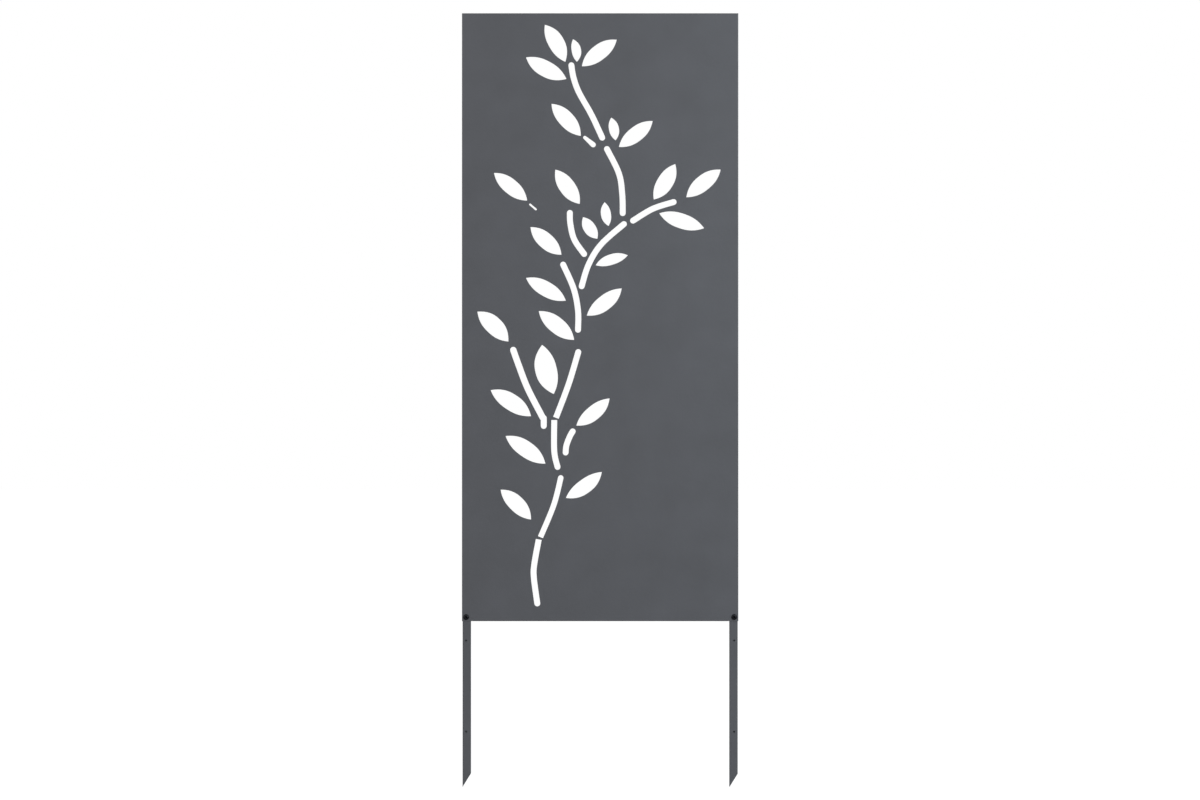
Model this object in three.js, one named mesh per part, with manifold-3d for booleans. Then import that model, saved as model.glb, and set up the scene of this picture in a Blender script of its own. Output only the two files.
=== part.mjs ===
// A garden screen: one laser-cut, folded and powder-coated steel panel, carried by two pointed square
// stakes. Each stake slides up a channel folded into the panel's side and is held by one M6 bolt.
// Millimetres. +X is right, +Z is up and the face looks along -Y. The origin is the ground line: the middle
// of the panel's bottom edge, half way through the stakes.
import * as THREE from "three";
import { mergeVertices } from "three/addons/utils/BufferGeometryUtils.js";
import Module from "manifold-3d";

// The folded panel
const PANEL_WIDTH = 500;
const PANEL_HEIGHT = 1100;
const SHEET = 0.8; // thickness of the steel
const BEND = 0.8; // inside radius of every fold
const CHANNEL_RETURN = 8; // last flange of a side channel, which turns forward beside the stake
const END_LIP = 12; // lip behind the top and the bottom flange

// The stakes, cut from square tube
const STAKE_SIZE = 15;
const STAKE_WALL = 1.2;
const STAKE_CORNER = 1.6; // outside radius of the tube's corners
const STAKE_FIT = 0.2; // room between the stake and the channel, all round
const STAKE_BELOW = 300; // from the panel down to the point
const STAKE_INSIDE = 300; // from the panel's bottom edge up the channel
const POINT_CUT = 24; // height of the slanting cut that makes the point
const PILOT_HOLE = 3.3; // in the front wall only
const UPPER_PILOT = 35; // below the panel's bottom edge
const LOWER_PILOT = 100; // above the point

// The M6 fasteners, one set a stake. Widths are built up from the thread.
const THREAD = 6;
const THREAD_SHOWING = 5.25; // past the nut, which makes the bolt 30 long
const THREAD_CHAMFER = 0.6;
const BOLT_OFFSET = 1; // hole centre outward from the stake's centre line
const BOLT_HEIGHT = 7.5; // hole centre above the panel's bottom edge
const HOLE_FIT = 0.3; // room round the thread in the panel and the stake
const HEAD_LEDGE = 2.25; // how far the head stands out past the thread
const HEAD_HEIGHT = 3.3;
const HEAD_RIM = 0.6; // straight rim under the dome
const SOCKET_ACROSS = 4; // hexagon socket, across flats
const SOCKET_DEPTH = 2;
const WASHER_FIT = 0.2;
const WASHER_RIM = 2.8; // from its hole to its edge
const WASHER_THICK = 1.6;
const NUT_WALL = 2; // from the thread to the nut's flats
const HEXAGON_HEIGHT = 4.4;
const COLLAR_HEIGHT = 1.6; // round collar on the hexagon, which holds the nylon ring
const COLLAR_WALL = 0.55;
const COLLAR_LIP = 0.5; // steel turned in over the nylon ring
const NUT_CHAMFER = 0.5;
const RING_WALL = 0.82; // from the thread's hole to the ring's edge
const RING_HEIGHT = 1.5;
const THREAD_FIT = 0.08; // room round the thread in the nut and its ring
const RING_FIT = 0.05; // room round the ring in its pocket
const SEAT = 0.05; // the coat's thickness between clamped faces

// The branch. It fills the face, clear of the side channels and of the lips, so no fold shows through it.
const CLEAR_LEFT = 11; // from the channel to the outermost cut-out
const CLEAR_RIGHT = 15;
const CLEAR_TOP = 9; // from the lip to the uppermost cut-out
const CLEAR_BOTTOM = 15;
const SLOT_WIDTH = 10.6; // of most stem slots
const LOWER_STEM_WIDTH = 9.8; // of the slim stem above the lowest one
const SIDE_STEM_WIDTH = 11.4; // of the long stem on the left
const STUB_WIDTH = 9.4; // of the short tapering stub, at its lower end
const STUB_TAPER = 0.64; // its upper end's width as a share of its lower end's
const HAIRLINE_WIDTH = 3.4;
const LEAF_FULLNESS = 2.4; // 2 would make each side of a leaf a parabola; more fills its shoulders

// How finely curves are cut into facets
const BEND_STEPS = 2;
const LEAF_STEPS = 12; // along each side
const STEM_STEPS = 10; // along each side
const END_STEPS = 6; // round each end of a slot
const ROUND_STEPS = 32; // round a hole, head or washer
const DOME_STEPS = 5;

// Cutters run this far past what they cut
const OVERRUN = 1;

// Each leaf: foot and tip from the middle of the panel's bottom edge, then how far its left and its right
// side stand out from the line between them, seen from foot to tip.
const LEAVES = [
  { foot: [-63, 1012], tip: [-100, 1079], left: 12, right: 17 },
  { foot: [-42, 1012], tip: [-49, 1053], left: 6, right: 11 },
  { foot: [-33, 1004], tip: [30, 1052], left: 15, right: 13 },
  { foot: [-61, 981], tip: [-134, 1020], left: 16, right: 13 },
  { foot: [-35, 878], tip: [-88, 936], left: 13, right: 15 },
  { foot: [28, 870], tip: [20, 911], left: 8, right: 10 },
  { foot: [34, 858], tip: [95, 905], left: 13, right: 14 },
  { foot: [97, 763], tip: [136, 827], left: 13, right: 16 },
  { foot: [156, 767], tip: [218, 817], left: 15, right: 13 },
  { foot: [-132, 761], tip: [-192, 811], left: 13, right: 14 },
  { foot: [-37, 755], tip: [-81, 817], left: 15, right: 14 },
  { foot: [15, 715], tip: [8, 758], left: 10, right: 8 },
  { foot: [188, 711], tip: [107, 738], left: 14, right: 13 },
  { foot: [-5, 692], tip: [-31, 731], left: 12, right: 10 },
  { foot: [-70, 663], tip: [-126, 713], left: 14, right: 14 },
  { foot: [-8, 644], tip: [50, 662], left: 11, right: 8 },
  { foot: [-62, 580], tip: [-134, 621], left: 13, right: 14 },
  { foot: [-24, 553], tip: [39, 602], left: 12, right: 15 },
  { foot: [-47, 509], tip: [-111, 561], left: 14, right: 15 },
  { foot: [-166, 506], tip: [-222, 560], left: 13, right: 18 },
  { foot: [-84, 411], tip: [-105, 500], left: 23, right: 16 },
  { foot: [-125, 371], tip: [-198, 418], left: 13, right: 17 },
  { foot: [-43, 354], tip: [17, 403], left: 11, right: 15 },
  { foot: [-99, 285], tip: [-171, 335], left: 13, right: 16 },
  { foot: [-62, 223], tip: [3, 270], left: 10, right: 16 },
  { foot: [-125, 184], tip: [-180, 238], left: 12, right: 16 },
];

// Each stem slot: the middle line from its lower end to its upper end. An end is round unless it is square,
// where only a thin bridge of steel keeps it from the next slot.
const STEMS = [
  { line: [[6, 870], [-16, 917], [-38, 956], [-48, 983], [-53, 1011]] },
  { line: [[-9, 859], [-30, 877]], width: STUB_WIDTH, taper: STUB_TAPER },
  { line: [[41, 733], [40, 772], [34, 810], [10, 859]] },
  { line: [[-115, 744], [-128, 755]], width: HAIRLINE_WIDTH },
  { line: [[55, 722], [95, 746], [138, 760]] },
  { line: [[-26, 660], [-47, 691], [-54, 720], [-55, 744]] },
  { line: [[-35, 601], [-21, 645], [2, 682], [47, 722]] },
  { line: [[-40, 522], [-40, 562], [-48, 602], [-69, 650]] },
  { line: [[-80, 368], [-57, 429], [-38, 492]], square: "lower" },
  { line: [[-101, 363], [-131, 421], [-148, 465], [-159, 496]], width: SIDE_STEM_WIDTH },
  { line: [[-102, 348], [-102, 373]] },
  { line: [[-63, 300], [-61, 318], [-55, 334], [-47, 348]] },
  { line: [[-76, 274], [-83, 308], [-83, 364]], square: "upper" },
  { line: [[-108, 152], [-84, 210], [-70, 264]], width: LOWER_STEM_WIDTH, square: "lower" },
  { line: [[-113, 27], [-120, 80], [-119, 104], [-111, 148]], square: "upper" },
];

// Sizes and places that follow from the ones above
const HALF_WIDTH = PANEL_WIDTH / 2;
const CHANNEL = STAKE_SIZE + 2 * STAKE_FIT + 2 * SHEET; // a side channel is as wide as it is deep
const FRONT = -CHANNEL / 2;
const BACK = CHANNEL / 2;
const FOLD = BEND + SHEET; // outside radius of a fold
const STAKE_X = HALF_WIDTH - CHANNEL / 2;
const BOLT_X = STAKE_X + BOLT_OFFSET;
const BOLT_HOLE = THREAD + 2 * HOLE_FIT;
const HEAD_WIDTH = THREAD + 2 * HEAD_LEDGE;
const WASHER_HOLE = THREAD + 2 * WASHER_FIT;
const WASHER_WIDTH = WASHER_HOLE + 2 * WASHER_RIM;
const NUT_ACROSS = THREAD + 2 * NUT_WALL;
const NUT_BORE = THREAD + 2 * THREAD_FIT;
const NUT_HEIGHT = HEXAGON_HEIGHT + COLLAR_HEIGHT;
const RING_WIDTH = NUT_BORE + 2 * RING_WALL;
const POCKET_WIDTH = RING_WIDTH + 2 * RING_FIT;
const POCKET_TOP = NUT_HEIGHT - COLLAR_LIP; // from the nut's base
const POCKET_FLOOR = POCKET_TOP - RING_HEIGHT - 2 * RING_FIT;
const HEAD_SEAT = FRONT - SEAT;
const WASHER_SEAT = BACK + SEAT;
const NUT_SEAT = WASHER_SEAT + WASHER_THICK + SEAT;
const BOLT_LENGTH = NUT_SEAT + NUT_HEIGHT + THREAD_SHOWING - HEAD_SEAT; // under the head

// These turn an outline drawn in its own x and y, and pushed along its own z. The first lays it across Y
// and Z and pushes it along X; the second lays it across X and Z and pushes it forward, against Y.
const ALONG_X = new THREE.Matrix4().makeBasis(
  new THREE.Vector3(0, 1, 0),
  new THREE.Vector3(0, 0, 1),
  new THREE.Vector3(1, 0, 0),
);
const ALONG_MINUS_Y = new THREE.Matrix4().makeBasis(
  new THREE.Vector3(1, 0, 0),
  new THREE.Vector3(0, 0, 1),
  new THREE.Vector3(0, -1, 0),
);

const powderCoat = new THREE.MeshStandardMaterial({ color: 0x5a5b60, roughness: 0.5, metalness: 0 });
const blackSteel = new THREE.MeshStandardMaterial({ color: 0x1c1d1f, roughness: 0.4, metalness: 0.7 });
const nylon = new THREE.MeshStandardMaterial({ color: 0xe6e4dc, roughness: 0.5, metalness: 0 });

const wasm = await Module();
wasm.setup();

function toSolid(geometry) {
  const bare = geometry.clone();
  bare.deleteAttribute("normal");
  bare.deleteAttribute("uv");
  const merged = mergeVertices(bare, 1e-5);
  const vertProperties = merged.attributes.position.array;
  const triVerts = new Uint32Array(merged.index.array);
  return new wasm.Manifold(new wasm.Mesh({ numProp: 3, vertProperties, triVerts }));
}

function toGeometry(solid) {
  const { vertProperties, triVerts } = solid.getMesh();
  const geometry = new THREE.BufferGeometry();
  geometry.setAttribute("position", new THREE.BufferAttribute(vertProperties, 3));
  geometry.setIndex(new THREE.BufferAttribute(triVerts, 1));
  geometry.computeVertexNormals();
  return geometry;
}

// A flat outline pushed from one depth to another along its own third axis, then turned to the world's.
function push(shape, from, to, axes = new THREE.Matrix4()) {
  const options = { depth: to - from, bevelEnabled: false, curveSegments: BEND_STEPS };
  const geometry = new THREE.ExtrudeGeometry(shape, options);
  return toSolid(geometry.translate(0, 0, from).applyMatrix4(axes));
}

// A round rod along Y, centred on x and z.
function rod(width, x, z, from, to) {
  const geometry = new THREE.CylinderGeometry(width / 2, width / 2, to - from, ROUND_STEPS);
  return toSolid(geometry.translate(x, (from + to) / 2, z));
}

// A six-sided rod along Y, centred on the axis.
function hexRod(across, from, to) {
  const corner = across / 2 / Math.cos(Math.PI / 6);
  const geometry = new THREE.CylinderGeometry(corner, corner, to - from, 6);
  return toSolid(geometry.translate(0, (from + to) / 2, 0));
}

// A solid turned about the Y axis from its profile of [radius, y].
function turned(profile) {
  const points = profile.map(([radius, y]) => new THREE.Vector2(radius, y));
  return toSolid(new THREE.LatheGeometry(points, ROUND_STEPS));
}

// The section of a folded sheet. The corners are those of its outside line, which turns left at every fold.
function foldedSection(corners) {
  const points = corners.map(([x, y]) => new THREE.Vector2(x, y));
  const headings = points.slice(1).map((point, i) => point.clone().sub(points[i]).normalize());
  const inward = headings.map((heading) => new THREE.Vector2(-heading.y, heading.x));
  const shape = new THREE.Shape();
  const last = points.length - 1;
  const arcAt = (i, radius, backwards) => {
    const centre = points[i].clone().addScaledVector(headings[i - 1], -FOLD);
    centre.addScaledVector(inward[i - 1], FOLD);
    const before = inward[i - 1].clone().negate().angle();
    const after = before + Math.PI / 2;
    if (backwards) shape.absarc(centre.x, centre.y, radius, after, before, true);
    else shape.absarc(centre.x, centre.y, radius, before, after, false);
  };
  const insideStart = points[0].clone().addScaledVector(inward[0], SHEET);
  const insideEnd = points[last].clone().addScaledVector(inward[last - 1], SHEET);
  shape.moveTo(insideStart.x, insideStart.y);
  shape.lineTo(points[0].x, points[0].y);
  for (let i = 1; i < last; i++) arcAt(i, FOLD, false);
  shape.lineTo(points[last].x, points[last].y);
  shape.lineTo(insideEnd.x, insideEnd.y);
  for (let i = last - 1; i > 0; i--) arcAt(i, BEND, true);
  return shape;
}

// A rectangle with each corner's radius given, from the lower left one round counter-clockwise.
function roundedRectangle(left, bottom, right, top, radii) {
  const corners = [[left, bottom], [right, bottom], [right, top], [left, top]];
  const towardsMiddle = [[1, 1], [-1, 1], [-1, -1], [1, -1]];
  const shape = new THREE.Shape();
  corners.forEach(([x, y], i) => {
    const radius = radii[i];
    const [dx, dy] = towardsMiddle[i];
    const start = Math.PI + (i * Math.PI) / 2;
    if (radius === 0) shape[i === 0 ? "moveTo" : "lineTo"](x, y);
    else shape.absarc(x + dx * radius, y + dy * radius, radius, start, start + Math.PI / 2, false);
  });
  return shape;
}

// The drawing is stretched to fill its field on the face, so it follows the panel's size.
function drawingPlacer() {
  const drawn = [...LEAVES.flatMap(({ foot, tip }) => [foot, tip]), ...STEMS.flatMap(({ line }) => line)];
  const across = drawn.map(([x]) => x);
  const upward = drawn.map(([, z]) => z);
  const [left, right] = [Math.min(...across), Math.max(...across)];
  const [low, high] = [Math.min(...upward), Math.max(...upward)];
  const fieldLeft = -HALF_WIDTH + CHANNEL + CLEAR_LEFT;
  const fieldRight = HALF_WIDTH - CHANNEL - CLEAR_RIGHT;
  const fieldLow = END_LIP + CLEAR_BOTTOM;
  const fieldHigh = PANEL_HEIGHT - END_LIP - CLEAR_TOP;
  return ([x, z]) =>
    new THREE.Vector2(
      THREE.MathUtils.mapLinear(x, left, right, fieldLeft, fieldRight),
      THREE.MathUtils.mapLinear(z, low, high, fieldLow, fieldHigh),
    );
}

// A leaf is pointed at both ends; each side swells to its full width half way along.
function leafShape({ foot, tip, left, right }, place) {
  const start = place(foot);
  const along = place(tip).sub(start);
  const grown = along.length() / Math.hypot(tip[0] - foot[0], tip[1] - foot[1]);
  const outward = new THREE.Vector2(-along.y, along.x).normalize();
  const edge = (share, swell) => {
    const stand = swell * grown * (1 - Math.abs(2 * share - 1) ** LEAF_FULLNESS);
    return start.clone().addScaledVector(along, share).addScaledVector(outward, stand);
  };
  const points = [];
  for (let i = 0; i < LEAF_STEPS; i++) points.push(edge(i / LEAF_STEPS, -right));
  for (let i = LEAF_STEPS; i > 0; i--) points.push(edge(i / LEAF_STEPS, left));
  return new THREE.Shape(points);
}

// A slot of even width, or a tapering one, along a smooth middle line.
function stemShape({ line, width = SLOT_WIDTH, taper = 1, square }, place) {
  const ends = line.map(place);
  const last = ends.length - 1;
  const inset = (end, next, isSquare, radius) => {
    if (!isSquare) end.addScaledVector(next.clone().sub(end).normalize(), radius);
  };
  const lowerRadius = width / 2;
  const upperRadius = (width * taper) / 2;
  inset(ends[0], ends[1], square === "lower", lowerRadius);
  inset(ends[last], ends[last - 1], square === "upper", upperRadius);
  const middle = last > 1 ? new THREE.SplineCurve(ends) : new THREE.LineCurve(ends[0], ends[1]);
  const points = [];
  const beside = (share, side) => {
    const heading = middle.getTangent(share);
    const radius = lowerRadius + (upperRadius - lowerRadius) * share;
    const stand = new THREE.Vector2(-heading.y, heading.x).multiplyScalar(radius * side);
    points.push(middle.getPoint(share).add(stand));
  };
  const roundEnd = (share, radius, direction) => {
    const centre = middle.getPoint(share);
    const first = middle.getTangent(share).angle() - (direction * Math.PI) / 2;
    for (let i = 1; i < END_STEPS; i++) {
      const turn = first + (i / END_STEPS) * Math.PI;
      points.push(new THREE.Vector2(Math.cos(turn), Math.sin(turn)).multiplyScalar(radius).add(centre));
    }
  };
  for (let i = 0; i <= STEM_STEPS; i++) beside(i / STEM_STEPS, -1);
  if (square !== "upper") roundEnd(1, upperRadius, 1);
  for (let i = STEM_STEPS; i >= 0; i--) beside(i / STEM_STEPS, 1);
  if (square !== "lower") roundEnd(0, lowerRadius, -1);
  return new THREE.Shape(points);
}

// The rounded block that holds the whole panel: folds round its sides and its top, and a cut bottom edge.
function panelEnvelope() {
  const plan = roundedRectangle(-HALF_WIDTH, FRONT, HALF_WIDTH, BACK, [FOLD, FOLD, FOLD, FOLD]);
  const profile = roundedRectangle(FRONT, 0, BACK, PANEL_HEIGHT, [0, 0, FOLD, FOLD]);
  return push(plan, 0, PANEL_HEIGHT).intersect(push(profile, -HALF_WIDTH, HALF_WIDTH, ALONG_X));
}

// The sheet before it is cut: face, two side channels, and top and bottom flanges with their lips.
function foldedTray() {
  const inner = HALF_WIDTH - CHANNEL;
  const channelEnd = BACK - CHANNEL_RETURN;
  const leftChannel = foldedSection([
    [-inner, channelEnd],
    [-inner, BACK],
    [-HALF_WIDTH, BACK],
    [-HALF_WIDTH, FRONT],
    [-inner + OVERRUN, FRONT],
  ]);
  const rightChannel = foldedSection([
    [inner - OVERRUN, FRONT],
    [HALF_WIDTH, FRONT],
    [HALF_WIDTH, BACK],
    [inner, BACK],
    [inner, channelEnd],
  ]);
  const middle = foldedSection([
    [BACK, PANEL_HEIGHT - END_LIP],
    [BACK, PANEL_HEIGHT],
    [FRONT, PANEL_HEIGHT],
    [FRONT, 0],
    [BACK, 0],
    [BACK, END_LIP],
  ]);
  const top = foldedSection([
    [BACK, PANEL_HEIGHT - END_LIP],
    [BACK, PANEL_HEIGHT],
    [FRONT, PANEL_HEIGHT],
    [FRONT, PANEL_HEIGHT - END_LIP],
  ]);
  return push(leftChannel, 0, PANEL_HEIGHT)
    .add(push(rightChannel, 0, PANEL_HEIGHT))
    .add(push(middle, -inner, inner, ALONG_X))
    .add(push(top, -HALF_WIDTH, HALF_WIDTH, ALONG_X))
    .intersect(panelEnvelope());
}

function screenPanel() {
  const place = drawingPlacer();
  const outlines = [
    ...LEAVES.map((leaf) => leafShape(leaf, place)),
    ...STEMS.map((stem) => stemShape(stem, place)),
  ];
  let panel = foldedTray();
  for (const outline of outlines) {
    panel = panel.subtract(push(outline, -FRONT - SHEET - OVERRUN, -FRONT + OVERRUN, ALONG_MINUS_Y));
  }
  for (const x of [-BOLT_X, BOLT_X]) {
    panel = panel.subtract(rod(BOLT_HOLE, x, BOLT_HEIGHT, FRONT - OVERRUN, BACK + OVERRUN));
  }
  return toGeometry(panel);
}

// A stake about its own centre line, with z still from the ground line. The side says which way the holes
// lie off its centre line; the point is cut to the same hand on both.
function stake(side) {
  const half = STAKE_SIZE / 2;
  const bore = half - STAKE_WALL;
  const boreCorner = Math.max(STAKE_CORNER - STAKE_WALL, 0);
  const section = roundedRectangle(-half, -half, half, half, Array(4).fill(STAKE_CORNER));
  section.holes.push(roundedRectangle(-bore, -bore, bore, bore, Array(4).fill(boreCorner)));
  const slope = POINT_CUT / STAKE_SIZE;
  const waste = new THREE.Shape([
    new THREE.Vector2(-half - OVERRUN, -STAKE_BELOW - slope * OVERRUN),
    new THREE.Vector2(half + OVERRUN, -STAKE_BELOW - slope * OVERRUN),
    new THREE.Vector2(half + OVERRUN, -STAKE_BELOW + POINT_CUT + slope * OVERRUN),
  ]);
  const holeX = side * BOLT_OFFSET;
  let tube = push(section, -STAKE_BELOW, STAKE_INSIDE)
    .subtract(push(waste, -half - OVERRUN, half + OVERRUN, ALONG_MINUS_Y))
    .subtract(rod(BOLT_HOLE, holeX, BOLT_HEIGHT, -half - OVERRUN, half + OVERRUN));
  for (const z of [-UPPER_PILOT, LOWER_PILOT - STAKE_BELOW]) {
    tube = tube.subtract(rod(PILOT_HOLE, holeX, z, -half - OVERRUN, -bore + OVERRUN));
  }
  return toGeometry(tube);
}

// Button-head bolt: y is measured from under the head, which lies on the negative side.
function bolt() {
  const profile = [[0, -HEAD_HEIGHT]];
  const reach = Math.acos(SOCKET_ACROSS / HEAD_WIDTH);
  for (let i = DOME_STEPS; i >= 0; i--) {
    const turn = (reach * i) / DOME_STEPS;
    const rise = ((HEAD_HEIGHT - HEAD_RIM) * Math.sin(turn)) / Math.sin(reach);
    profile.push([(HEAD_WIDTH / 2) * Math.cos(turn), -HEAD_RIM - rise]);
  }
  profile.push([HEAD_WIDTH / 2, 0]);
  profile.push([THREAD / 2, 0]);
  profile.push([THREAD / 2, BOLT_LENGTH - THREAD_CHAMFER]);
  profile.push([THREAD / 2 - THREAD_CHAMFER, BOLT_LENGTH]);
  profile.push([0, BOLT_LENGTH]);
  const socket = hexRod(SOCKET_ACROSS, -HEAD_HEIGHT - OVERRUN, -HEAD_HEIGHT + SOCKET_DEPTH);
  return toGeometry(turned(profile).subtract(socket));
}

function ring(width, hole, height) {
  return turned([
    [hole / 2, 0],
    [width / 2, 0],
    [width / 2, height],
    [hole / 2, height],
    [hole / 2, 0],
  ]);
}

// Lock nut: a hexagon with both ends turned down, and a round collar that holds the nylon ring.
function nut() {
  const corner = NUT_ACROSS / 2 / Math.cos(Math.PI / 6);
  const turnedDown = turned([
    [0, 0],
    [NUT_ACROSS / 2, 0],
    [corner, NUT_CHAMFER],
    [corner, HEXAGON_HEIGHT - NUT_CHAMFER],
    [NUT_ACROSS / 2, HEXAGON_HEIGHT],
    [0, HEXAGON_HEIGHT],
  ]);
  const collarWidth = POCKET_WIDTH + 2 * COLLAR_WALL;
  const body = hexRod(NUT_ACROSS, 0, HEXAGON_HEIGHT)
    .intersect(turnedDown)
    .add(rod(collarWidth, 0, 0, HEXAGON_HEIGHT - COLLAR_HEIGHT, NUT_HEIGHT))
    .subtract(rod(NUT_BORE, 0, 0, -OVERRUN, NUT_HEIGHT + OVERRUN))
    .subtract(rod(POCKET_WIDTH, 0, 0, POCKET_FLOOR, POCKET_TOP));
  return toGeometry(body);
}

function lockRing() {
  return toGeometry(ring(RING_WIDTH, NUT_BORE, RING_HEIGHT));
}

function washer() {
  return toGeometry(ring(WASHER_WIDTH, WASHER_HOLE, WASHER_THICK));
}

function piece(name, geometry, material) {
  const mesh = new THREE.Mesh(geometry, material);
  mesh.name = name;
  return mesh;
}

// One bolt with its washer and lock nut, on the hole's centre line.
function fasteners(suffix) {
  const group = new THREE.Group();
  const stack = [
    ["bolt_" + suffix, bolt(), blackSteel, HEAD_SEAT],
    ["washer_" + suffix, washer(), blackSteel, WASHER_SEAT],
    ["lock_nut_" + suffix, nut(), blackSteel, NUT_SEAT],
    ["nylon_ring_" + suffix, lockRing(), nylon, NUT_SEAT + POCKET_FLOOR + RING_FIT],
  ];
  for (const [name, geometry, material, y] of stack) {
    const mesh = piece(name, geometry, material);
    mesh.position.y = y;
    group.add(mesh);
  }
  return group;
}

const screen = new THREE.Group();
screen.add(piece("screen_panel", screenPanel(), powderCoat));
for (const [suffix, side] of [["left", -1], ["right", 1]]) {
  const post = piece("stake_" + suffix, stake(side), powderCoat);
  post.position.x = side * STAKE_X;
  screen.add(post);
  const set = fasteners(suffix);
  set.position.set(side * BOLT_X, 0, BOLT_HEIGHT);
  screen.add(set);
}

export default screen;
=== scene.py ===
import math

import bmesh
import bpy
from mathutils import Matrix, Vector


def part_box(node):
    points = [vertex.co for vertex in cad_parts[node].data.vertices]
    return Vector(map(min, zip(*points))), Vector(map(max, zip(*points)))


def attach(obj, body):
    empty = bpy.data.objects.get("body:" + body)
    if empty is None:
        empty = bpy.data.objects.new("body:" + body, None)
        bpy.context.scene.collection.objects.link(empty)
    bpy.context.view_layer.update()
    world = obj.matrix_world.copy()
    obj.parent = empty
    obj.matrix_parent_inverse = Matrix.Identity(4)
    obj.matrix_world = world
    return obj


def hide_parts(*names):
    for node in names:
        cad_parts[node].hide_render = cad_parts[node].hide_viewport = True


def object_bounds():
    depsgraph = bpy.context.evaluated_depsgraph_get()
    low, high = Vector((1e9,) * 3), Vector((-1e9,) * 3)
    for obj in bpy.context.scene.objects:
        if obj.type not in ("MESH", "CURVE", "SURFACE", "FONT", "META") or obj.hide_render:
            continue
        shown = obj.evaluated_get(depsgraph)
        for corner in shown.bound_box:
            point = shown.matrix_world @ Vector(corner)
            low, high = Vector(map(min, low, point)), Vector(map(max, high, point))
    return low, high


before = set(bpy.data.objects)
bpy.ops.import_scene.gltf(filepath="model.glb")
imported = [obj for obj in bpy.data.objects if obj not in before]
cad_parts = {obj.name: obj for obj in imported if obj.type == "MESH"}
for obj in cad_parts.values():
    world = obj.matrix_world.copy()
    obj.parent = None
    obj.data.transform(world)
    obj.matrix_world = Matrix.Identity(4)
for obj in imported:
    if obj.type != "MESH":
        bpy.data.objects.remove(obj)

# A garden screen: one steel sheet, cut by laser with a leafy branch, folded back at its edges and powder
# coated, on two stakes of square steel tube. The sheet is made here as its maker makes it: a flat blank is
# cut, the coat rounds its edges, and then it is folded. Metres, with +Z up and the face towards -Y.

MM = 0.001
QUARTER = math.pi / 2

# Outer sizes and places come from the solids
CAD_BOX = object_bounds()
PANEL_LOW, PANEL_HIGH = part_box("screen_panel")
FRONT = PANEL_LOW.y
BACK = PANEL_HIGH.y
HALF_WIDTH = PANEL_HIGH.x
HALF_HEIGHT = (PANEL_HIGH.z - PANEL_LOW.z) / 2
MIDDLE = PANEL_LOW.z + HALF_HEIGHT

# The folded sheet
SHEET = 0.8 * MM
BEND = 0.8 * MM  # inside radius of every fold
CHANNEL_RETURN = 8 * MM  # last flange of a side channel, which turns forward beside the stake
END_LIP = 12 * MM  # lip behind the top and the bottom flange
RELIEF = 0.6 * MM  # slit at the end of a fold, so that the steel doesn't tear
SEAM = 0.1 * MM  # open seam where two flanges meet at a corner
GRINDING = 0.02 * MM  # a ground weld lies this far inside the folds beside it
BOLT_HOLE = 6.6 * MM
EDGE_ROUND = 0.15 * MM  # the coat's rounding of a cut edge
CORNER_TURN = math.radians(40)  # an outline that turns more than this has a real corner there

# The stakes
TUBE_WALL = 1.2 * MM
TUBE_CORNER = 1.6 * MM
POINT_CUT = 24 * MM  # height of the slanting saw cut
PILOT_HOLE = 3.3 * MM
PILOT_HEIGHTS = (-35 * MM, -200 * MM)  # measured from the panel's bottom edge

# M6 fasteners
THREAD = 6 * MM
PITCH = 1 * MM
THREAD_DEPTH = 0.6 * MM
THREAD_CREST = 1 / 8  # flat width of a crest, as a share of the pitch
THREAD_FLANK = 5 / 16  # width of each flank, as a share of the pitch
THREAD_LENGTH = 18 * MM
HEAD_WIDTH = 10.5 * MM
HEAD_HEIGHT = 3.3 * MM
HEAD_RIM = 0.6 * MM  # upright edge under the dome
SOCKET_ACROSS = 4 * MM
SOCKET_DEPTH = 2 * MM
SOCKET_RIM = 4.8 * MM  # circle of the small countersink round the socket
THREAD_FADE = 1.5 * MM  # over which the thread runs out into the plain shank
THREAD_CHAMFER = 0.6 * MM
NUT_ACROSS = 10 * MM
NUT_FACE = 9.7 * MM  # circle that the hexagon's corners are turned down to
NUT_BORE = 6.16 * MM
HEXAGON_HEIGHT = 4.4 * MM
TURNED_DOWN = math.tan(math.radians(30))
COLLAR_WIDTH = 9 * MM
COLLAR_ROUND = 0.5 * MM
COLLAR_LIP = 0.5 * MM
LIP_HOLE = 7.1 * MM  # the lip is rolled in this far over the nylon
POCKET_WIDTH = 7.9 * MM
POCKET_HEIGHT = 1.6 * MM
RING_GRIP = 0.02 * MM  # the nylon keeps this far from the thread's crests
WASHER_HOLE = 6.4 * MM
WASHER_WIDTH = 12 * MM
BURR = 0.15 * MM  # broken edge of a turned or stamped part

# How finely curves are cut into facets
FOLD_STEPS = 8
EDGE_STEPS = 2
OUTLINE_STEPS = 4  # between two points of a solid's outline
CORNER_STEPS = 6
HOLE_STEPS = 32
TURN_STEPS = 48  # round a fastener, a multiple of twelve so that a hexagon's corners are met
THREAD_STEPS = 8  # along one pitch
DOME_STEPS = 10
ROUND_STEPS = 4  # of a small rounded edge
WELD_STEPS = 16
MERGE = 0.0005 * MM  # points nearer than this are one point
SQUARELY = math.cos(math.radians(2))  # a face this close to facing forward is part of the panel's front
SHEET_CREASE = math.radians(55)  # faces that meet more sharply than this show an edge
TURNED_CREASE = math.radians(28)

# Finishes of a coated piece, in the order of its material slots
SKIN = 0
CUT = 1

# Sizes that follow
CHANNEL = BACK - FRONT
INNER = HALF_WIDTH - CHANNEL
FOLD = BEND + SHEET
NEUTRAL = BEND + SHEET / 2
FOLD_LENGTH = NEUTRAL * QUARTER
SIDE_RUNS = (HALF_WIDTH - FOLD, CHANNEL - 2 * FOLD, CHANNEL - 2 * FOLD, CHANNEL_RETURN - FOLD)
END_RUNS = (HALF_HEIGHT - FOLD, CHANNEL - 2 * FOLD, END_LIP - FOLD)


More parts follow.
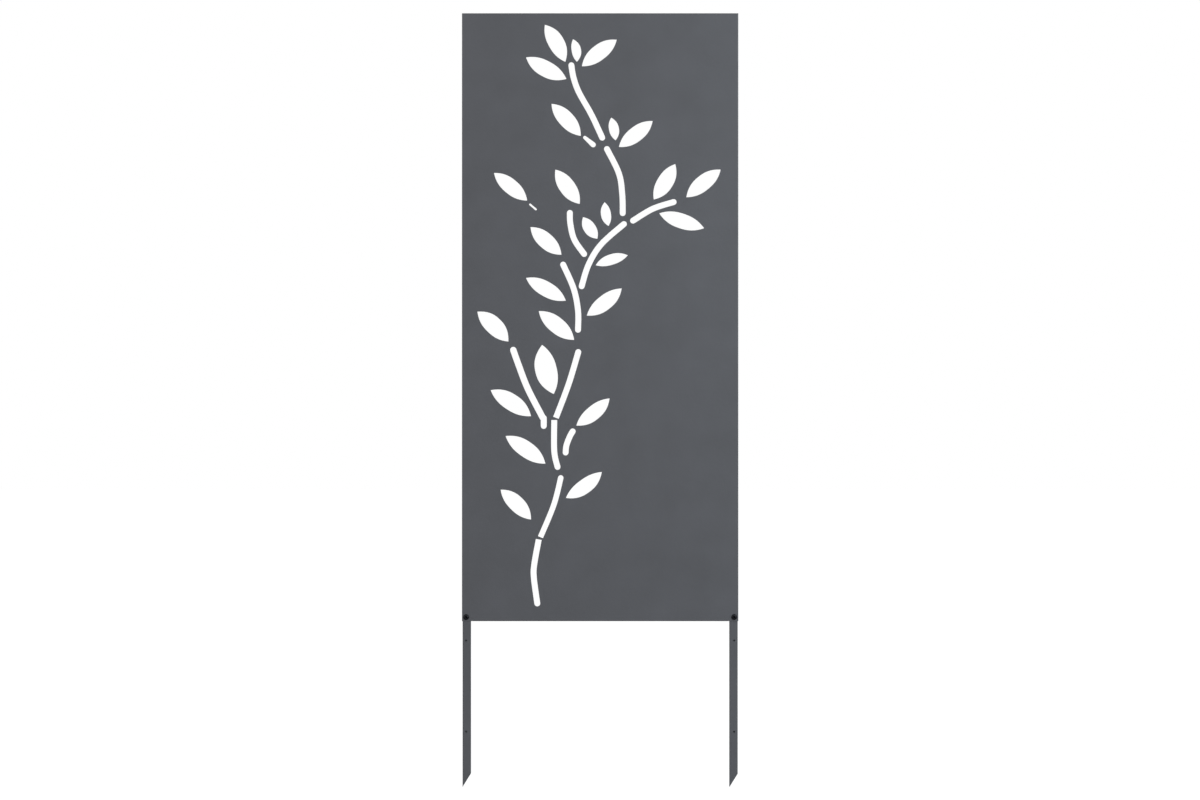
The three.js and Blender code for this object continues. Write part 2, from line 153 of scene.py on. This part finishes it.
# ---------------------------------------------------------------- flat outlines

def turning(points, i):
    """How sharply an outline turns at one of its points."""
    before = points[i] - points[i - 1]
    after = points[(i + 1) % len(points)] - points[i]
    return abs(before.angle_signed(after))


def is_clockwise(points):
    return sum(a.cross(b) for a, b in zip(points, points[1:] + points[:1])) < 0


def smoothed(points):
    """The curve through an outline's points, with its real corners kept."""
    count = len(points)
    corner = [turning(points, i) > CORNER_TURN for i in range(count)]
    along = [(points[(i + 1) % count] - points[i - 1]).normalized() for i in range(count)]
    curve = []
    for i in range(count):
        j = (i + 1) % count
        start, end = points[i], points[j]
        chord = end - start
        leaving = along[i] * chord.length
        arriving = along[j] * chord.length
        if corner[i] and corner[j]:
            leaving = arriving = chord
        elif corner[i]:
            leaving = 2 * chord - arriving
        elif corner[j]:
            arriving = 2 * chord - leaving
        for step in range(OUTLINE_STEPS):
            t = step / OUTLINE_STEPS
            curve.append(
                start * (2 * t**3 - 3 * t**2 + 1)
                + leaving * (t**3 - 2 * t**2 + t)
                + end * (3 * t**2 - 2 * t**3)
                + arriving * (t**3 - t**2)
            )
    return curve


def circle(centre, diameter):
    """A clockwise circle, as a hole runs."""
    turns = [-2 * math.pi * i / HOLE_STEPS for i in range(HOLE_STEPS)]
    return [centre + Vector((math.cos(t), math.sin(t))) * diameter / 2 for t in turns]


def inset(points, distance):
    """An outline moved into the steel, which lies on its left."""
    moved = []
    for i, point in enumerate(points):
        before = (point - points[i - 1]).normalized()
        after = (points[(i + 1) % len(points)] - point).normalized()
        left = Vector((-before.y, before.x))
        next_left = Vector((-after.y, after.x))
        moved.append(point + (left + next_left) * distance / (1 + left.dot(next_left)))
    return moved


def centre_of(node):
    """The middle of a solid, in x and in height."""
    low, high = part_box(node)
    return (low.x + high.x) / 2, (low.z + high.z) / 2


def face_cutouts(node):
    """The outlines cut through the solid panel's face, in x and in height from its middle."""
    bm = bmesh.new()
    bm.from_mesh(node.data)
    bmesh.ops.remove_doubles(bm, verts=bm.verts, dist=MERGE)
    face = {f for f in bm.faces if -f.normal.y > SQUARELY and f.calc_center_median().y < FRONT + MERGE}
    rim = {}
    for edge in bm.edges:
        if len(face.intersection(edge.link_faces)) == 1:
            for vert in edge.verts:
                rim.setdefault(vert, []).append(edge)
    outlines = []
    while rim:
        start = vert = next(iter(rim))
        outline = []
        while vert in rim:
            outline.append(Vector((vert.co.x, vert.co.z - MIDDLE)))
            following = [e.other_vert(vert) for e in rim.pop(vert)]
            vert = next((v for v in following if v in rim), start)
        outlines.append(outline)
    bm.free()
    # The widest outline is the panel's own edge
    outlines.sort(key=lambda outline: max(p.x for p in outline) - min(p.x for p in outline))
    holes = outlines[:-1]
    return [o if is_clockwise(o) else o[::-1] for o in holes]


# ---------------------------------------------------------------- sheet steel

def edge_profile(thickness):
    """A cut edge from face to face: how far in from the outline, and how deep."""
    turns = [QUARTER * i / EDGE_STEPS for i in range(EDGE_STEPS + 1)]
    near = [(EDGE_ROUND * (1 - math.sin(t)), EDGE_ROUND * (1 - math.cos(t))) for t in turns]
    far = [(distance, thickness - depth) for distance, depth in reversed(near)]
    return near + far


def ring_edges(bm, ring):
    return [bm.edges.get((ring[i - 1], ring[i])) for i in range(len(ring))]


def cut_edge(bm, outline, thickness, place):
    """The rounded wall of a cut. Returns its rims' edges on the near and on the far side of the steel."""
    rings = []
    for distance, depth in edge_profile(thickness):
        rings.append([bm.verts.new(place(point, depth)) for point in inset(outline, distance)])
    for near, far in zip(rings, rings[1:]):
        for i in range(len(outline)):
            wall = bm.faces.new((near[i - 1], near[i], far[i], far[i - 1]))
            wall.material_index = CUT
    return ring_edges(bm, rings[0]), ring_edges(bm, rings[-1])


def panel_blank():
    """The right half of the flat blank's outline, from the bottom up, and then its mirror image."""
    side_start = SIDE_RUNS[0] + FOLD_LENGTH
    side_fold = side_start + SIDE_RUNS[1]
    side_end = sum(SIDE_RUNS) + 3 * FOLD_LENGTH
    side_top = HALF_HEIGHT - FOLD - SEAM
    flange_start = END_RUNS[0] + FOLD_LENGTH
    flange_end = flange_start + END_RUNS[1]
    lip_end = sum(END_RUNS) + 2 * FOLD_LENGTH
    turns = [QUARTER * i / FOLD_STEPS for i in range(FOLD_STEPS + 1)]
    # Where both folds run round the same back corner, each is cut to the other's curve
    over_side = [(HALF_WIDTH - FOLD + FOLD * math.cos(t), flange_end + NEUTRAL * t) for t in turns]
    under_top = [(side_fold + NEUTRAL * t, side_top + BEND * math.cos(t)) for t in reversed(turns)]
    right = [
        (INNER - RELIEF, -lip_end),
        (INNER - RELIEF, RELIEF - END_RUNS[0]),
        (INNER, RELIEF - END_RUNS[0]),
        (INNER, -HALF_HEIGHT),
        (side_end, -HALF_HEIGHT),
        (side_end, side_top),
        *under_top,
        (side_start, side_top + BEND),
        (side_start, END_RUNS[0]),
        (SIDE_RUNS[0], END_RUNS[0]),
        (SIDE_RUNS[0], flange_start),
        (HALF_WIDTH, flange_start),
        *over_side,
        (INNER - RELIEF, flange_end + FOLD_LENGTH),
        (INNER - RELIEF, lip_end),
    ]
    return [Vector(p) for p in right] + [Vector((-x, y)) for x, y in reversed(right)]


def lip_hole(side, bolt_x, height):
    """A bolt hole in the back lip of a side channel, on the blank."""
    lip_start = SIDE_RUNS[0] + SIDE_RUNS[1] + 2 * FOLD_LENGTH
    reach = lip_start + HALF_WIDTH - FOLD - abs(bolt_x)
    return circle(Vector((side * reach, height - MIDDLE)), BOLT_HOLE)


def folded(reach, depth, runs):
    """How far out and how far back a point of the blank lies once its flange is folded."""
    spot = Vector((0, 0))
    out = Vector((1, 0))
    back = Vector((0, 1))
    for run in runs[:-1]:
        if reach <= run:
            break
        reach -= run
        centre = spot + out * run + back * FOLD
        if reach < FOLD_LENGTH:
            turn = reach / NEUTRAL
            return centre + (out * math.sin(turn) - back * math.cos(turn)) * (FOLD - depth)
        reach -= FOLD_LENGTH
        spot = centre + out * FOLD
        out, back = back, -out
    return spot + out * reach + back * depth


def fold_lines(runs):
    """Where a blank is scored for its folds, so that each bend has enough facets."""
    lines = []
    start = 0
    for run in runs[:-1]:
        start += run
        lines += [start + FOLD_LENGTH * i / FOLD_STEPS for i in range(FOLD_STEPS + 1)]
        start += FOLD_LENGTH
    return lines


def score(bm, axis, lines):
    """Cuts the blank's faces along lines on both sides of its middle, without parting them."""
    for line in lines:
        for side in (-1, 1):
            everything = bm.verts[:] + bm.edges[:] + bm.faces[:]
            place = axis * line * side
            bmesh.ops.bisect_plane(bm, geom=everything, dist=MERGE, plane_co=place, plane_no=axis)


def in_end_flange(across, up):
    """Whether a point of the blank is folded with the top or the bottom. The rest is folded with a side."""
    reach = HALF_WIDTH if up > 0 else INNER - RELIEF
    return abs(up) > END_RUNS[0] + MERGE and abs(across) < reach + MERGE


def fold_panel(bm):
    """Moves every point of the flat blank to where its folds take it."""
    for vert in bm.verts:
        across, up, depth = vert.co
        if in_end_flange(across, up):
            out, back = folded(abs(up), depth, END_RUNS)
            vert.co = (across, FRONT + back, MIDDLE + math.copysign(out, up))
        else:
            out, back = folded(abs(across), depth, SIDE_RUNS)
            vert.co = (math.copysign(out, across), FRONT + back, MIDDLE + up)


def corner_weld(bm, side):
    """Weld that fills the open corner where the side fold meets the top fold, ground to their round."""
    centre = Vector((side * (HALF_WIDTH - FOLD), MIDDLE + HALF_HEIGHT - FOLD))
    radius = FOLD - GRINDING
    turns = [math.pi * i / WELD_STEPS for i in range(WELD_STEPS + 1)]
    ball = [(radius * math.sin(t), -radius * math.cos(t)) for t in turns]
    add_turned(bm, lambda turn: ball, centre, FRONT + FOLD)


def cut_and_folded_sheet():
    """The screen's one sheet, with the solid's own cut-outs: cut flat, scored, folded and welded."""
    bm = bmesh.new()
    holes = [smoothed(outline) for outline in face_cutouts(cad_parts["screen_panel"])]
    for side, bolt in ((-1, "bolt_left"), (1, "bolt_right")):
        holes.append(lip_hole(side, *centre_of(bolt)))
    near, far = [], []
    for outline in [panel_blank(), *holes]:
        near_rim, far_rim = cut_edge(bm, outline, SHEET, lambda p, depth: (p.x, p.y, depth))
        near += near_rim
        far += far_rim
    for rim in (near, far):
        bmesh.ops.triangle_fill(bm, use_beauty=True, edges=rim)
    score(bm, Vector((1, 0, 0)), fold_lines(SIDE_RUNS))
    score(bm, Vector((0, 1, 0)), fold_lines(END_RUNS))
    # Where a fold line meets the rim it can leave faces without area
    bmesh.ops.dissolve_degenerate(bm, dist=MERGE, edges=bm.edges)
    fold_panel(bm)
    for side in (-1, 1):
        corner_weld(bm, side)
    return finished("folded_sheet", bm, SHEET_CREASE)


# ---------------------------------------------------------------- stakes

def tube_section(half, corner):
    """A rounded square, counter-clockwise from the right end of its front."""
    points = []
    for i, (right, back) in enumerate(((1, -1), (1, 1), (-1, 1), (-1, -1))):
        centre = Vector((right, back)) * (half - corner)
        for step in range(CORNER_STEPS + 1):
            turn = QUARTER * (i - 1 + step / CORNER_STEPS)
            points.append(centre + Vector((math.cos(turn), math.sin(turn))) * corner)
    return points


def bridge(bm, near, far, finish, gaps=()):
    """Walls between two rings of points, all but the flats in gaps. Returns the edges round those."""
    around = [i for i in range(len(near)) if i not in gaps]
    for i in around:
        wall = bm.faces.new((near[i - 1], near[i], far[i], far[i - 1]))
        wall.material_index = finish
    flats = []
    for i in gaps:
        corners = (near[i - 1], near[i], far[i], far[i - 1])
        flats.append([bm.edges.get((corners[k - 1], corners[k])) for k in range(4)])
    return flats


def square_stake(side):
    """Square tube, sawn off square at the top and at a slant at the bottom, and drilled for its bolt."""
    low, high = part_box("stake_" + side)
    middle = (low.x + high.x) / 2
    half = (high.x - low.x) / 2
    slope = POINT_CUT / (high.x - low.x)
    hole = Vector(centre_of("bolt_" + side))
    bm = bmesh.new()

    def end_ring(depth, end):
        section = tube_section(half - depth, TUBE_CORNER - depth)
        return [bm.verts.new((middle + p.x, p.y, end(p.x))) for p in section]

    point, top = [], []
    for distance, depth in edge_profile(TUBE_WALL):
        point.append(end_ring(depth, lambda x: low.z + slope * (x + half) + distance))
        top.append(end_ring(depth, lambda x: high.z - distance))
    for rings in (point, top):
        for near, far in zip(rings, rings[1:]):
            bridge(bm, near, far, CUT)
    # A flat goes by the number of the point that ends it: the front's is first, the back's two corners on
    drilled = (0, 2 * (CORNER_STEPS + 1))
    outside = bridge(bm, point[0], top[0], SKIN, drilled)
    inside = bridge(bm, point[-1], top[-1], SKIN, drilled)
    front_holes = [circle(hole, BOLT_HOLE)]
    for height in PILOT_HEIGHTS:
        front_holes.append(circle(Vector((hole.x, height)), PILOT_HOLE))
    walls = (
        (front_holes, lambda p, depth: (p.x, low.y + depth, p.y)),
        ([circle(hole, BOLT_HOLE)], lambda p, depth: (p.x, high.y - depth, p.y)),
    )
    for (holes, place), outer, inner in zip(walls, outside, inside):
        for outline in holes:
            outer_rim, inner_rim = cut_edge(bm, outline, TUBE_WALL, place)
            outer += outer_rim
            inner += inner_rim
        for rim in (outer, inner):
            bmesh.ops.triangle_fill(bm, use_beauty=True, edges=rim)
    return finished("square_tube_" + side, bm, SHEET_CREASE)


# ---------------------------------------------------------------- fasteners

def add_turned(bm, profile, axis, base):
    """A form turned about an axis along Y. The profile gives its (radius, height) points at a share of a
    turn, so that a thread or a hexagon can change on the way round."""
    columns = []
    for i in range(TURN_STEPS + 1):
        turn = i / TURN_STEPS
        out = Vector((math.cos(2 * math.pi * turn), math.sin(2 * math.pi * turn)))
        columns.append([
            bm.verts.new((axis.x + out.x * radius, base + height, axis.y + out.y * radius))
            for radius, height in profile(turn)
        ])
    for near, far in zip(columns, columns[1:]):
        for k in range(1, len(near)):
            bm.faces.new((near[k - 1], near[k], far[k], far[k - 1]))
    points = [point for column in columns for point in column]
    bmesh.ops.remove_doubles(bm, verts=points, dist=MERGE)


def turned(name, side, base, profile):
    """A fastener's piece, turned about the axis of its side's bolt."""
    bm = bmesh.new()
    add_turned(bm, profile, Vector(centre_of("bolt_" + side)), base)
    return finished(name, bm, TURNED_CREASE)


def hexagon(turn, across):
    """The radius of a hexagon at a share of a turn, with a corner at its start."""
    return across / 2 / math.cos(math.radians(turn * 360 % 60 - 30))


def rounded(centre_radius, centre_height, radius, start):
    """A quarter of a rounded edge, from a start direction in quarter turns."""
    turns = [QUARTER * (start + i / ROUND_STEPS) for i in range(ROUND_STEPS + 1)]
    return [(centre_radius + radius * math.cos(t), centre_height + radius * math.sin(t)) for t in turns]


def thread_depth(share):
    """How deep a metric thread is cut at a share of its pitch: flat crest, straight flank, flat root."""
    half_crest = THREAD_CREST / 2
    from_middle = abs((share - half_crest + 0.5) % 1 - 0.5)
    return THREAD_DEPTH * min(max((from_middle - half_crest) / THREAD_FLANK, 0), 1)


def thread_points(turn, start, end):
    """The helix, one pitch up for every turn, running out at its start and turned down at its end."""
    points = []
    for k in range(-THREAD_STEPS, round((end - start) / PITCH * THREAD_STEPS) + 1):
        height = min(max(start + (k / THREAD_STEPS + turn) * PITCH, start), end)
        fade = min((height - start) / THREAD_FADE, 1)
        radius = THREAD / 2 - thread_depth(k / THREAD_STEPS % 1) * fade
        points.append((min(radius, THREAD / 2 + end - THREAD_CHAMFER - height), height))
    return points


def bolt_profile(turn, length):
    """From the socket's floor over the dome and down the shank, with heights from under the head."""
    socket = hexagon(turn, SOCKET_ACROSS)
    floor = SOCKET_DEPTH - HEAD_HEIGHT
    lead_in = (SOCKET_RIM / 2 - socket) * TURNED_DOWN - HEAD_HEIGHT
    points = [(0, floor + SOCKET_ACROSS / 2 * TURNED_DOWN), (socket - BURR, floor), (socket, floor - BURR)]
    points += [(socket, lead_in), (SOCKET_RIM / 2, -HEAD_HEIGHT)]
    reach = math.acos(SOCKET_RIM / HEAD_WIDTH)
    for i in range(1, DOME_STEPS + 1):
        down = reach * (1 - i / DOME_STEPS)
        rise = (HEAD_HEIGHT - HEAD_RIM) * math.sin(down) / math.sin(reach)
        points.append((HEAD_WIDTH / 2 * math.cos(down), -HEAD_RIM - rise))
    points += rounded(HEAD_WIDTH / 2 - BURR, -BURR, BURR, 0)
    points.append((THREAD / 2, 0))
    points += thread_points(turn, length - THREAD_LENGTH, length)
    points.append((0, length))
    return points


def washer_profile(height):
    """Round the washer's section, whose edges the stamping and tumbling left soft."""
    inner, outer = WASHER_HOLE / 2, WASHER_WIDTH / 2
    points = rounded(inner + BURR, BURR, BURR, 2) + rounded(outer - BURR, BURR, BURR, 3)
    points += rounded(outer - BURR, height - BURR, BURR, 0) + rounded(inner + BURR, height - BURR, BURR, 1)
    return points + points[:1]


def nut_profile(turn, height):
    """From the base's outer edge up the hexagon and the collar, over the rolled lip and down the bore."""
    flat = hexagon(turn, NUT_ACROSS)
    corner = (flat - NUT_FACE / 2) * TURNED_DOWN
    bore, pocket, lip = NUT_BORE / 2, POCKET_WIDTH / 2, LIP_HOLE / 2
    pocket_top = height - COLLAR_LIP
    collar = COLLAR_WIDTH / 2
    points = [(NUT_FACE / 2, 0), (flat, corner), (flat, HEXAGON_HEIGHT - corner)]
    points += [(NUT_FACE / 2, HEXAGON_HEIGHT), (collar + BURR, HEXAGON_HEIGHT)]
    points.append((collar, HEXAGON_HEIGHT + BURR))
    points += rounded(collar - COLLAR_ROUND, height - COLLAR_ROUND, COLLAR_ROUND, 0)
    points += rounded(lip + BURR, height - BURR, BURR, 1)
    points += [(lip, pocket_top), (pocket, pocket_top), (pocket, pocket_top - POCKET_HEIGHT)]
    points += [(bore, pocket_top - POCKET_HEIGHT), (bore, BURR), (bore + BURR, 0), (NUT_FACE / 2, 0)]
    return points


def ring_profile(height, width):
    """Nylon, squeezed against the bolt and crowned a little where the lip presses it."""
    inner, outer = THREAD / 2 + RING_GRIP, width / 2
    crown = ((inner, height - BURR), (inner + BURR, height), (outer, height - BURR))
    return [(inner, 0), (outer, 0), *reversed(crown), (inner, 0)]


def button_head_bolt(side):
    low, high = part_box("bolt_" + side)
    under_head = low.y + HEAD_HEIGHT
    length = high.y - under_head
    return turned("button_head_bolt_" + side, side, under_head, lambda turn: bolt_profile(turn, length))


def flat_washer(side):
    low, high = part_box("washer_" + side)
    return turned("flat_washer_" + side, side, low.y, lambda turn: washer_profile(high.y - low.y))


def crimped_lock_nut(side):
    low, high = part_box("lock_nut_" + side)
    height = high.y - low.y
    return turned("crimped_lock_nut_" + side, side, low.y, lambda turn: nut_profile(turn, height))


def nylon_insert(side):
    low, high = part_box("nylon_ring_" + side)
    height, width = high.y - low.y, high.x - low.x
    return turned("nylon_insert_" + side, side, low.y, lambda turn: ring_profile(height, width))


# ---------------------------------------------------------------- making objects

def finished(name, bm, crease):
    """A mesh becomes an object whose flats look flat and whose bends look smooth, with an edge wherever it
    bends by more than the crease."""
    bmesh.ops.recalc_face_normals(bm, faces=bm.faces)
    mesh = bpy.data.meshes.new(name)
    bm.to_mesh(mesh)
    bm.free()
    mesh.shade_smooth()
    mesh.set_sharp_from_angle(angle=crease)
    piece = bpy.data.objects.new(name, mesh)
    bpy.context.scene.collection.objects.link(piece)
    flats = piece.modifiers.new("flats", "WEIGHTED_NORMAL")
    flats.weight = 100  # the broadest face decides
    flats.keep_sharp = True
    return piece


def dress(piece, materials, node):
    """A piece gets its finish, rides with the screen and stands for its solid."""
    for material in materials:
        piece.data.materials.append(material)
    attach(piece, "root")
    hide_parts(node)


# ---------------------------------------------------------------- finishes

# Lines across a cut edge, in millimetres. A laser's are finer, but lines this far apart show from close by
CUT_LINE_SPACING = 0.4
CUT_LINE_LENGTH = 8


def linear(hex_colour):
    """An sRGB hex colour as the linear colour a shader takes."""
    channels = [int(hex_colour[i : i + 2], 16) / 255 for i in (1, 3, 5)]
    return tuple(c / 12.92 if c <= 0.04045 else ((c + 0.055) / 1.055) ** 2.4 for c in channels) + (1.0,)


def per_metre(millimetres):
    """The texture scale whose pattern repeats about every so many millimetres."""
    return 1000 / millimetres


def add_node(tree, kind, inputs=None, **settings):
    """One node with its settings, its values and its links."""
    node = tree.nodes.new(kind)
    for name, value in settings.items():
        setattr(node, name, value)
    for name, value in (inputs or {}).items():
        if isinstance(value, bpy.types.NodeSocket):
            tree.links.new(value, node.inputs[name])
        else:
            node.inputs[name].default_value = value
    return node


def new_material(name):
    material = bpy.data.materials.new(name)
    material.use_nodes = True
    material.node_tree.nodes.clear()
    return material, material.node_tree


def powder_coat(name, over_cut=False):
    """Polyester powder, sprayed on and baked. It gives the eye an even satin grey with a soft wide sheen,
    which the coat's orange peel and its fine grain break up. Over a cut edge it also shows the fine lines
    that the laser or the saw left across the steel."""
    material, tree = new_material(name)
    place = add_node(tree, "ShaderNodeTexCoord").outputs["Object"]
    # The spray lays the powder a little thicker and thinner in clouds about 70 mm wide
    cloud = add_node(tree, "ShaderNodeTexNoise", {"Vector": place, "Scale": per_metre(70), "Detail": 3})
    # Peel is about 2.5 mm wide; its first octave is drawn at 6 mm, so that it shows from a step away
    peel = add_node(tree, "ShaderNodeTexNoise", {"Vector": place, "Scale": per_metre(6), "Detail": 2.5})
    # The grain is what the powder's own particles leave, drawn at 0.6 mm, several times their size
    grain = add_node(tree, "ShaderNodeTexNoise", {"Vector": place, "Scale": per_metre(0.6), "Detail": 2})
    shade = add_node(
        tree, "ShaderNodeMath", {0: cloud.outputs["Fac"], 1: grain.outputs["Fac"]}, operation="ADD"
    )
    shade = add_node(
        tree, "ShaderNodeMapRange", {"Value": shade.outputs[0], "From Min": 0.6, "From Max": 1.4}
    )
    colour = add_node(tree, "ShaderNodeMix", {"Factor": shade.outputs["Result"]}, data_type="RGBA")
    colour.inputs["A"].default_value = linear("#505155")
    colour.inputs["B"].default_value = linear("#5a5b60")
    sheen = add_node(
        tree, "ShaderNodeMapRange", {"Value": peel.outputs["Fac"], "To Min": 0.36, "To Max": 0.52}
    )
    bump = add_node(tree, "ShaderNodeBump", {"Height": peel.outputs["Fac"], "Distance": 0.15 * MM})
    bump = add_node(
        tree,
        "ShaderNodeBump",
        {"Height": grain.outputs["Fac"], "Distance": 0.03 * MM, "Normal": bump.outputs["Normal"]},
    )
    if over_cut:
        stretch = (1, CUT_LINE_SPACING / CUT_LINE_LENGTH, 1)
        along = add_node(tree, "ShaderNodeMapping", {"Vector": place, "Scale": stretch})
        lines = add_node(
            tree,
            "ShaderNodeTexNoise",
            {"Vector": along.outputs["Vector"], "Scale": per_metre(CUT_LINE_SPACING), "Detail": 1},
        )
        bump = add_node(
            tree,
            "ShaderNodeBump",
            {"Height": lines.outputs["Fac"], "Distance": 0.03 * MM, "Normal": bump.outputs["Normal"]},
        )
    shader = add_node(
        tree,
        "ShaderNodeBsdfPrincipled",
        {
            "Base Color": colour.outputs["Result"],
            "Roughness": sheen.outputs["Result"],
            "IOR": 1.5,
            "Normal": bump.outputs["Normal"],
        },
    )
    add_node(tree, "ShaderNodeOutputMaterial", {"Surface": shader.outputs["BSDF"]})
    return material


def blackened_steel():
    """Hardened steel, chemically blackened and oiled: a thin black oxide over turned metal. It gives the
    eye near black with a narrow, slightly patchy shine."""
    material, tree = new_material("blackened_steel")
    place = add_node(tree, "ShaderNodeTexCoord").outputs["Object"]
    cloud = add_node(tree, "ShaderNodeTexNoise", {"Vector": place, "Scale": per_metre(1.5), "Detail": 4})
    colour = add_node(tree, "ShaderNodeMix", {"Factor": cloud.outputs["Fac"]}, data_type="RGBA")
    colour.inputs["A"].default_value = linear("#1d1e21")
    colour.inputs["B"].default_value = linear("#2b2c2f")
    sheen = add_node(
        tree, "ShaderNodeMapRange", {"Value": cloud.outputs["Fac"], "To Min": 0.30, "To Max": 0.42}
    )
    bump = add_node(tree, "ShaderNodeBump", {"Height": cloud.outputs["Fac"], "Distance": 0.01 * MM})
    shader = add_node(
        tree,
        "ShaderNodeBsdfPrincipled",
        {
            "Base Color": colour.outputs["Result"],
            "Metallic": 1.0,
            "Roughness": sheen.outputs["Result"],
            "Normal": bump.outputs["Normal"],
        },
    )
    add_node(tree, "ShaderNodeOutputMaterial", {"Surface": shader.outputs["BSDF"]})
    return material


def natural_nylon():
    """Undyed nylon 6, turned from tube: milky, slightly warm, with light going a little way in."""
    material, tree = new_material("natural_nylon")
    place = add_node(tree, "ShaderNodeTexCoord").outputs["Object"]
    cloud = add_node(tree, "ShaderNodeTexNoise", {"Vector": place, "Scale": per_metre(1), "Detail": 2})
    colour = add_node(tree, "ShaderNodeMix", {"Factor": cloud.outputs["Fac"]}, data_type="RGBA")
    colour.inputs["A"].default_value = linear("#dcd8cc")
    colour.inputs["B"].default_value = linear("#e8e5dc")
    bump = add_node(tree, "ShaderNodeBump", {"Height": cloud.outputs["Fac"], "Distance": 0.02 * MM})
    shader = add_node(
        tree,
        "ShaderNodeBsdfPrincipled",
        {
            "Base Color": colour.outputs["Result"],
            "Roughness": 0.45,
            "IOR": 1.53,
            "Subsurface Weight": 0.2,
            "Subsurface Scale": 0.5 * MM,
            "Normal": bump.outputs["Normal"],
        },
    )
    add_node(tree, "ShaderNodeOutputMaterial", {"Surface": shader.outputs["BSDF"]})
    return material


# ---------------------------------------------------------------- the screen

coat = powder_coat("powder_coated_steel")
cut_coat = powder_coat("powder_coated_cut_edge", over_cut=True)
dress(cut_and_folded_sheet(), (coat, cut_coat), "screen_panel")
black_steel = blackened_steel()
nylon = natural_nylon()
for side in ("left", "right"):
    dress(square_stake(side), (coat, cut_coat), "stake_" + side)
    dress(button_head_bolt(side), (black_steel,), "bolt_" + side)
    dress(flat_washer(side), (black_steel,), "washer_" + side)
    dress(crimped_lock_nut(side), (black_steel,), "lock_nut_" + side)
    dress(nylon_insert(side), (nylon,), "nylon_ring_" + side)


# ---------------------------------------------------------------- studio

LENS = 100  # millimetres, as the sensor's width is
SENSOR = 36
VIEW_DISTANCE = 6.03  # from the panel's face
VIEW_HEIGHT = 0.4002  # above the panel's bottom edge
VIEW_SIDE = -0.25 * MM
FLOOR_REACH = 20
FLOOR_GLOW = 0.88  # with what the pale floor throws back, this comes to white
ROOM_LIGHT = 0.5


def camera():
    """Square on to the face from so far away that the panel is as large as in the photograph."""
    data = bpy.data.cameras.new("camera")
    data.lens = LENS
    data.sensor_width = SENSOR
    piece = bpy.data.objects.new("camera", data)
    piece.location = (VIEW_SIDE, FRONT - VIEW_DISTANCE, VIEW_HEIGHT)
    piece.rotation_euler = (QUARTER, 0, 0)
    bpy.context.scene.collection.objects.link(piece)
    bpy.context.scene.camera = piece


def white_room():
    """White where the camera or a reflection sees it, but only half as strong a light on the screen."""
    surroundings = bpy.data.worlds.new("studio")
    surroundings.use_nodes = True
    tree = surroundings.node_tree
    tree.nodes.clear()
    path = add_node(tree, "ShaderNodeLightPath")
    seen = add_node(
        tree,
        "ShaderNodeMath",
        {0: path.outputs["Is Camera Ray"], 1: path.outputs["Is Glossy Ray"]},
        operation="MAXIMUM",
    )
    seen = add_node(
        tree,
        "ShaderNodeMath",
        {0: seen.outputs[0], 1: path.outputs["Is Transmission Ray"]},
        operation="MAXIMUM",
    )
    light = add_node(tree, "ShaderNodeBackground", {"Color": (1, 1, 1, 1), "Strength": ROOM_LIGHT})
    white = add_node(tree, "ShaderNodeBackground", {"Color": (1, 1, 1, 1), "Strength": 1.0})
    mix = add_node(
        tree, "ShaderNodeMixShader", {0: seen.outputs[0], 1: light.outputs[0], 2: white.outputs[0]}
    )
    add_node(tree, "ShaderNodeOutputWorld", {"Surface": mix.outputs[0]})
    bpy.context.scene.world = surroundings


def softbox(name, place, target, size, watts, colour):
    """A square lamp, turned to face its target."""
    data = bpy.data.lights.new(name, "AREA")
    data.shape = "SQUARE"
    data.size = size
    data.energy = watts
    data.color = linear(colour)[:3]
    lamp = bpy.data.objects.new(name, data)
    lamp.location = place
    lamp.rotation_euler = (Vector(target) - Vector(place)).to_track_quat("-Z", "Y").to_euler()
    bpy.context.scene.collection.objects.link(lamp)


def studio_floor():
    """The camera sees it white but for the screen's shadow. It lights the screen as a matt pale floor."""
    mesh = bpy.data.meshes.new("studio_floor")
    bm = bmesh.new()
    bmesh.ops.create_grid(bm, x_segments=1, y_segments=1, size=FLOOR_REACH)
    bm.to_mesh(mesh)
    bm.free()
    piece = bpy.data.objects.new("studio_floor", mesh)
    piece.location = (0, 0, CAD_BOX[0][2])
    bpy.context.scene.collection.objects.link(piece)
    material, tree = new_material("pale_floor")
    path = add_node(tree, "ShaderNodeLightPath")
    matt = add_node(tree, "ShaderNodeBsdfDiffuse", {"Color": linear("#dcdcdc")})
    pale = add_node(tree, "ShaderNodeBsdfDiffuse", {"Color": linear("#8a8a8a")})
    glow = add_node(tree, "ShaderNodeEmission", {"Color": (1, 1, 1, 1), "Strength": FLOOR_GLOW})
    seen = add_node(tree, "ShaderNodeAddShader", {0: pale.outputs[0], 1: glow.outputs[0]})
    mix = add_node(
        tree,
        "ShaderNodeMixShader",
        {0: path.outputs["Is Camera Ray"], 1: matt.outputs[0], 2: seen.outputs[0]},
    )
    add_node(tree, "ShaderNodeOutputMaterial", {"Surface": mix.outputs[0]})
    mesh.materials.append(material)


camera()
white_room()
studio_floor()
softbox("key", place=(1.3, -1.4, 1.0), target=(0, 0, 0.6), size=1.0, watts=16, colour="#ebf8ff")
softbox("fill", place=(-2.4, -3.2, 1.6), target=(0, 0, 0.4), size=2.4, watts=11, colour="#fffafa")
softbox("rear", place=(-1.8, 3.4, 2.6), target=(0, 0, 0.4), size=2.0, watts=45, colour="#ffffff")
bpy.context.scene.view_settings.view_transform = "Standard"
